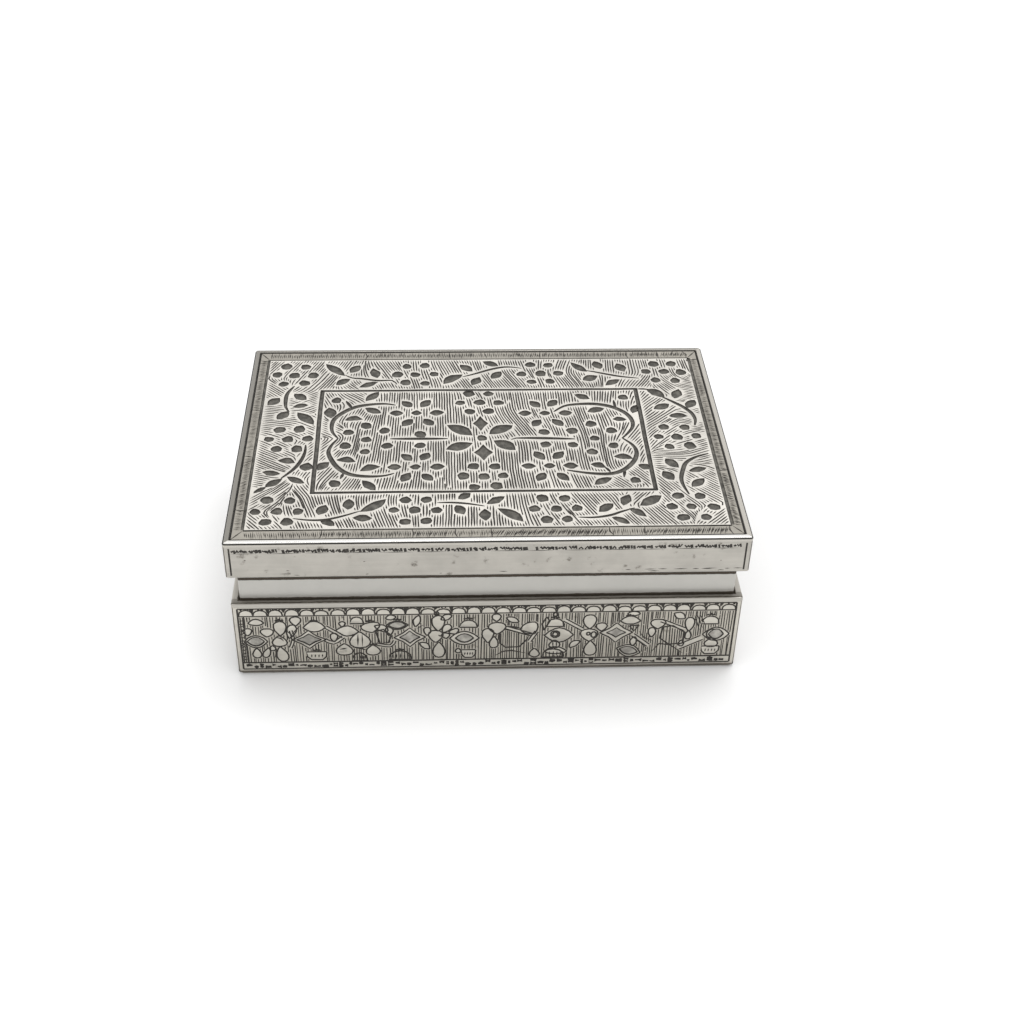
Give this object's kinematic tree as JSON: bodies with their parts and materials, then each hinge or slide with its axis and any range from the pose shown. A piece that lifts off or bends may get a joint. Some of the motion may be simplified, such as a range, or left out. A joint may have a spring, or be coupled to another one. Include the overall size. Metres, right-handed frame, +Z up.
{
  "type": "lidded silver box",
  "caption": "Flat rectangular sheet-silver box with engraved walls, a plain recessed neck and an engraved lift-off lid, for papers and keepsakes.",
  "frame": {"origin": "middle of the underside, on the surface the box stands on", "axes": "+X to the right along the long side, +Y to the back, +Z up"},
  "size_m": [0.16, 0.1124, 0.0534],
  "materials": {
    "engraved_silver": "engraved, with darkened recesses",
    "polished_silver": "hand polished, lightly worn",
    "plain_silver": "plain, dull with age"
  },
  "bodies": {
    "case": {"base_plate": "plain_silver", "case_front": "engraved_silver", "case_back": "engraved_silver", "case_left": "engraved_silver", "case_right": "engraved_silver", "rim_front": "polished_silver", "rim_back": "polished_silver", "rim_left": "polished_silver", "rim_right": "polished_silver", "neck_front": "polished_silver", "neck_back": "polished_silver", "neck_left": "polished_silver", "neck_right": "polished_silver"},
    "lid": {"lid_top": "engraved_silver", "edge_wire_front": "polished_silver", "edge_wire_back": "polished_silver", "edge_wire_left": "polished_silver", "edge_wire_right": "polished_silver", "skirt_front": "polished_silver", "skirt_back": "polished_silver", "skirt_left": "polished_silver", "skirt_right": "polished_silver", "liner_front": "plain_silver", "liner_back": "plain_silver", "liner_left": "plain_silver", "liner_right": "plain_silver"}
  },
  "joints": [
    {"name": "lid_lift", "type": "slide", "parent": "case", "child": "lid", "axis": [0, 0, 1], "range_m": [0, 0.08]}
  ]
}
